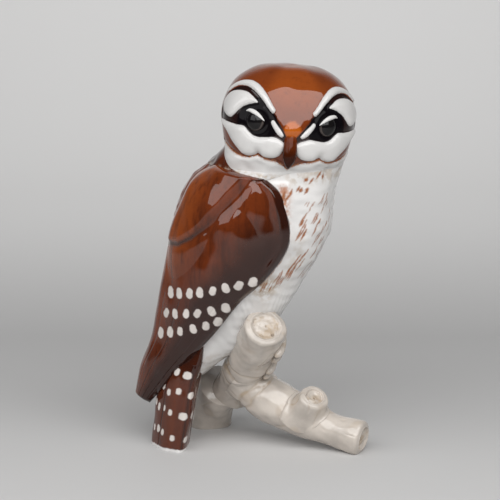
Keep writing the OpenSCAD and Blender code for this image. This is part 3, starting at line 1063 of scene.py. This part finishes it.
def wing_painted_light_and_shade(w, t):
    """Painted reflection: paler orange over the back of the upper wing and along its back edge. Painted
    shade: darker over the front, over the lower part and in the crease. Also darker along the front rim
    and in the quill grooves.
    """
    painted_reflection_back = fade(0.55, 1, t) * fade(0.75, 0.3, w.along)
    painted_reflection_edge = fade(1.4, 0.2, w.from_edge) * (t > 0.5)
    painted_shade_front = fade(0.75, 0.1, t) * fade(0.12, 0.42, w.along)
    painted_shade_low = 0.45 * fade(0.42, 0.62, w.along) * fade(1, 0.72, t)
    painted_shade_crease = ridge(w.above_crease + 0.4, 0.3 + 0.5 * w.rear, 0.9)
    rim_dark = 0.8 * fade(2.6, 1.4, w.from_front) * fade(0.7, 0.5, w.along)
    quill_dark = 0.2 * fade(0.35, 0, w.quills) * w.lower
    darkened = painted_shade_front + painted_shade_low + painted_shade_crease + rim_dark + quill_dark
    return 0.8 * painted_reflection_back + 0.4 * painted_reflection_edge, np.clip(darkened, 0, 1)


def build_wing(name, side, material):
    """A folded wing; side is 1 for the right wing and -1 for the left."""
    rows = smooth_rows(WING_ROWS, 330)
    t = np.linspace(0, 1, OUTER_COLUMNS)[None, :]
    back = np.linspace(1, 0, INNER_COLUMNS + 2)[None, 1:-1]
    u, z, outer, inner = wing_sheets(rows, t)
    back_u, back_z, _, back_inner = wing_sheets(rows, back)

    above = z - read_off(SCAPULAR_EDGE, u)
    swell = fade(-0.2, 1.2, above) * np.exp(-np.clip(above, 0, None) / 6)
    u = u - 0.35 * swell * fade(0.7, 1, t)
    w = wing_places(rows, t, u, z, above)
    rounding = wing_rounding(w)
    outer = inner + (outer - inner) * rounding
    shape = np.stack([u, z, outer], -1)
    soft = 0.2 * lumps(shape, 11, 31 + side) + 0.1 * lumps(shape * [1, 0.5, 1], 5, 35 + side)
    outer = outer + (wing_relief(w) + soft) * rounding

    front_sheet = np.stack([u, -side * outer, z], -1)
    back_sheet = np.stack([back_u, -side * back_inner, back_z], -1)
    grid = from_bird(np.hstack([front_sheet, back_sheet]))
    # the wing's painted reflection and painted shade
    paler, darkened = wing_painted_light_and_shade(w, t)
    inside = np.zeros((len(rows), INNER_COLUMNS))
    fields = {
        "dot": np.hstack([wing_dots(u, z, 3 + side), inside + AWAY]),
        "paler": np.hstack([paler, inside]),
        "darkened": np.hstack([darkened, inside]),
    }
    if side < 0:
        grid = grid[:, ::-1]
        fields = {key: value[:, ::-1] for key, value in fields.items()}
    make_piece(name, [grid], [fields], material, [name])


# ---- branch ----

# middle lines of the branches from their hidden ends: x, y, z, radius
BRANCH_ROWS = [
    [*FORK, 7.2],
    [4.5, 7.5, 14.4, 7.2],
    [15, 3, 9.8, 6.3],
    [25.5, -1, 6.2, 5.2],
    [34, -5, 4.7, 5.2],
]
ROOT_ROWS = [
    [-9.6, 18.8, 14.9, 7.6],
    [-12, 22.5, 10.5, 7.3],
    [-13.8, 26.5, 4, 6.9],
    [-14.8, 29, -4, 7.4],
]
PERCH_ROWS = [[*PERCH_START, 6.4], [*((PERCH_START + PERCH_END) / 2), 6.5], [*PERCH_END, 6.7]]
KNOT_ROWS = [
    [15.4, 1.9, 9.3, 6.8],
    [16.3, 0.4, 11.5, 6.3],
    [17.2, -1.2, 13.7, 5.5],
    [18.1, -2.7, 15.9, 4.9],
    [18.9, -4.1, 17.9, 4.6],
]
# how far from a neighbour a branch begins to flare
FLARE = 1.1
# the rounding's radius round a sawn end
SAWN_EDGE = 1.1
# lengthwise furrows round a branch
FURROWS = 6


def sawn_face(rim, middle, along, radius, seed):
    """Rings that close a sawn end: a smooth lip, then a rough sunken face with rings."""
    share = np.linspace(1, 0.02, 60)[1:, None]
    disc = middle + (rim - middle) * share[..., None]
    inner = fade(0.86, 0.72, share)
    rings = 0.1 * np.cos(share * radius * 2.6 + 1.6 * lumps(disc, 6, seed + 4))
    lip = ridge(share - 0.9, 0.25, 0.06)
    rough = 0.16 * lumps(disc, 3.4, seed + 5) + 0.02 * lumps(disc, 1.2, seed + 6)
    pits = fade(0.95, 1.4, lumps(disc, 2.2, seed + 7)) * inner
    disc = disc + along * (lip + (-0.45 + rings + rough) * inner - 0.5 * pits)[..., None]
    cut = np.broadcast_to((share - 0.78) * radius, pits.shape)
    # the last is the painted shade in the pits
    return disc, cut, 0.6 * pits


def flare_over(grid, neighbours):
    """How far a branch swells where it comes near its neighbours."""
    gap = np.full(grid.shape[:2], FLARE)
    for rows in neighbours:
        for row in smooth_rows(rows, 30):
            gap = np.minimum(gap, np.linalg.norm(grid - row[:3], axis=-1) - row[3])
    return (math.sqrt(FLARE) - np.sqrt(np.clip(gap, 0, None))) ** 2 * 0.75


def build_branch(name, material, rows, neighbours, seed, sawn=True, steps=190, columns=220, creases=()):
    """One length of branch, flared where it grows out of its neighbours.
    Creases are places along it of puckered rings, in millimetres from its start."""
    table = smooth_rows(rows, steps)
    grid = tube_grid(table, columns)
    step = np.linalg.norm(np.diff(table[:, :3], axis=0), axis=1)
    place = np.concatenate([[0], np.cumsum(step)])[:, None]
    from_end = place[-1] - place
    normals = grid_normals(grid)
    bark = 0.3 * lumps(grid, 11, seed) + 0.1 * lumps(grid, 4, seed + 1)
    around = full_turn(columns)
    furrow = np.abs(np.sin(FURROWS / 2 * around + 1.1 * lumps(grid, 12, seed + 9)))
    rough = fade(0.1, 0.7, lumps(grid, 10, seed + 10))
    pucker = groove(furrow * 2.5, 0.22, 0.6) * rough
    wave = 0.8 * lumps(grid, 8, seed + 2)
    for crease in creases:
        pucker += groove(place + wave - crease, 0.28, 0.6)
    relief = bark + pucker + flare_over(grid, neighbours) * fade(0, 2, from_end)
    # beige in random patches as stain, and in the puckered creases as painted shade
    stain_and_shade = 0.4 * fade(-0.5, -1.2, lumps(grid, 9, seed))
    stain_and_shade = stain_and_shade + 0.45 * fade(0, -0.28, pucker)
    cut = np.full(grid.shape[:2], AWAY)
    pit_shade = np.zeros(grid.shape[:2])
    if sawn:
        past_edge = 1 - np.clip(from_end / SAWN_EDGE, 0, 1)
        relief = relief - (1 - np.sqrt(1 - past_edge**2)) * SAWN_EDGE
    grid = grid + normals * relief[..., None]
    if sawn:
        along = unit(table[-1, :3] - table[-2, :3])
        disc, disc_cut, disc_pit_shade = sawn_face(grid[-1], table[-1, :3], along, table[-1, 3], seed)
        grid = np.concatenate([grid, disc])
        cut = np.concatenate([cut, disc_cut])
        # painted shade in the sawn face's pits
        pit_shade = np.concatenate([pit_shade, disc_pit_shade])
        stain_and_shade = np.concatenate([stain_and_shade, 0.3 * disc_pit_shade])
    # the ends that touch the table are ground flat
    grid[..., 2] = np.maximum(grid[..., 2], 0)
    fields = {"stain_and_shade": stain_and_shade, "cut": cut, "pit_shade": pit_shade}
    make_piece(name, [grid], [fields], material, [name])


# ---- feet ----

TOE_RINGS = 60
# how far a toe's middle line stands off the limb's, and how far apart two toes are
TOE_STAND = PERCH_RADIUS + 0.75
TOE_GAP = 2.4


def build_foot(name, distance, material):
    """Two toes side by side that grip the limb this far from its start."""
    forward = from_bird(np.array([1.0, 0, 0])) - BIRD_ZERO
    up = unit(np.cross(PERCH_AXIS, forward))
    up *= np.sign(up[2])
    ahead = np.cross(up, PERCH_AXIS)
    ahead *= np.sign(ahead[0])
    share = np.linspace(0, 1, TOE_RINGS)
    angle = np.radians(np.linspace(30, 125, TOE_RINGS))
    curl = TOE_STAND * (np.cos(angle)[:, None] * up + np.sin(angle)[:, None] * ahead)
    knuckles = np.cos(share * 2 * np.pi * 2.5)
    radius = 1.45 - 0.35 * share + 0.09 * knuckles
    radius = radius * np.sqrt(np.clip(1 - np.clip((share - 0.8) / 0.2, 0, 1) ** 2.2, 0.0004, 1))
    middle = PERCH_START + PERCH_AXIS * distance
    grids, fields = [], []
    for spread in (-TOE_GAP / 2, TOE_GAP / 2):
        place = middle + PERCH_AXIS * (spread * (0.9 + 0.5 * share))[:, None] + curl
        grids.append(tube_grid(np.hstack([place, radius[:, None]]), 40))
        # beige in the dips between the knuckles: painted shade
        fields.append({"stain_and_shade": 0.5 * fade(0.3, -1, knuckles)[:, None], "cut": AWAY, "pit_shade": 0.0})
    make_piece(name, grids, fields, material, [name])


# ---- build ----

build_head()
EYE = eye_glaze()
build_eye("right_eye", -1, EYE)
build_eye("left_eye", 1, EYE)
build_beak()
build_body()
build_tail()
WING = wing_glaze()
build_wing("right_wing", 1, WING)
build_wing("left_wing", -1, WING)
BARK = bark_glaze()
FOOT = bark_glaze("foot_glaze")
build_branch("perch_limb", BARK, PERCH_ROWS, [], 41, creases=(14, 17.5, 20.5))
build_branch("lower_branch", BARK, BRANCH_ROWS, [PERCH_ROWS], 51, creases=(5.5, 8.5))
build_branch("rear_root", BARK, ROOT_ROWS, [], 61, sawn=False, steps=100)
build_branch("knot_stub", BARK, KNOT_ROWS, [BRANCH_ROWS], 71, steps=90, columns=140)
build_foot("right_foot", 33, FOOT)
build_foot("left_foot", 22, FOOT)

# ---- stage ----

# the camera's aim in the drawing, its angle above it, its distance and the width it takes in
AIM = np.array([-0.9, 4.2, 62.2])
VIEW_ELEVATION = math.radians(11.5)
VIEW_DISTANCE = 650 * MM
FRAME_WIDTH = 153.85 * MM

# the floor in metres: half width, front edge, start and radius of its bend, and top edge
FLOOR_SIDE = 1.5
FLOOR_FRONT = -1.2
FLOOR_BACK = 0.45
FLOOR_BEND = 0.5
FLOOR_TOP = 1.6
FLOOR_COLOUR = (0.58, 0.575, 0.57, 1)
WORLD_COLOUR = (0.8, 0.82, 0.85, 1)
WORLD_STRENGTH = 0.1
# soft lights: name, place and aim in millimetres, width and height, power
SOFTBOXES = [
    ("key", (90, -390, 400), (0, 0, 75), (800, 450), 3.75),
    ("side", (-410, -270, 330), (0, 0, 75), (420, 360), 0.95),
    ("wall", (0, 250, 560), (0, 950, 420), (900, 300), 5.0),
]


def build_floor():
    """A pale sheet that lies flat and bends up behind the figurine without an edge."""
    profile = [(FLOOR_FRONT, 0.0)]
    for turn in np.radians(np.linspace(0, 90, 25)):
        profile.append((FLOOR_BACK + FLOOR_BEND * math.sin(turn), FLOOR_BEND * (1 - math.cos(turn))))
    profile.append((FLOOR_BACK + FLOOR_BEND, FLOOR_TOP))
    verts = [(x, y, z) for y, z in profile for x in (-FLOOR_SIDE, FLOOR_SIDE)]
    faces = [(2 * k, 2 * k + 1, 2 * k + 3, 2 * k + 2) for k in range(len(profile) - 1)]
    mesh = bpy.data.meshes.new("floor")
    mesh.from_pydata(verts, [], faces)
    mesh.shade_smooth()
    floor = add_object("floor", mesh)
    material = bpy.data.materials.new("floor")
    material.use_nodes = True
    shader = material.node_tree.nodes["Principled BSDF"]
    shader.inputs["Base Color"].default_value = FLOOR_COLOUR
    shader.inputs["Roughness"].default_value = 0.7
    mesh.materials.append(material)


def add_softbox(name, place_mm, aim_mm, size_mm, power):
    light = bpy.data.lights.new(name, "AREA")
    light.shape = "RECTANGLE"
    light.size, light.size_y = (s * MM for s in size_mm)
    light.energy = power
    lamp = add_object(name, light)
    lamp.location = Vector(place_mm) * MM
    lamp.rotation_euler = (Vector(aim_mm) - Vector(place_mm)).to_track_quat("-Z", "Y").to_euler()


def build_camera():
    aim = Vector(to_world(AIM))
    back = Vector((0, -math.cos(VIEW_ELEVATION), math.sin(VIEW_ELEVATION)))
    camera = add_object("camera", bpy.data.cameras.new("camera"))
    camera.location = aim + back * VIEW_DISTANCE
    camera.rotation_euler = (-back).to_track_quat("-Z", "Y").to_euler()
    camera.data.lens = camera.data.sensor_width * VIEW_DISTANCE / FRAME_WIDTH
    camera.data.clip_start = 0.01
    bpy.context.scene.camera = camera


def build_world():
    """A faint even light from all round."""
    world = bpy.data.worlds.new("world")
    world.use_nodes = True
    background = world.node_tree.nodes["Background"]
    background.inputs["Color"].default_value = WORLD_COLOUR
    background.inputs["Strength"].default_value = WORLD_STRENGTH
    bpy.context.scene.world = world


build_floor()
for softbox in SOFTBOXES:
    add_softbox(*softbox)
build_camera()
build_world()
bpy.context.scene.view_settings.view_transform = "Standard"
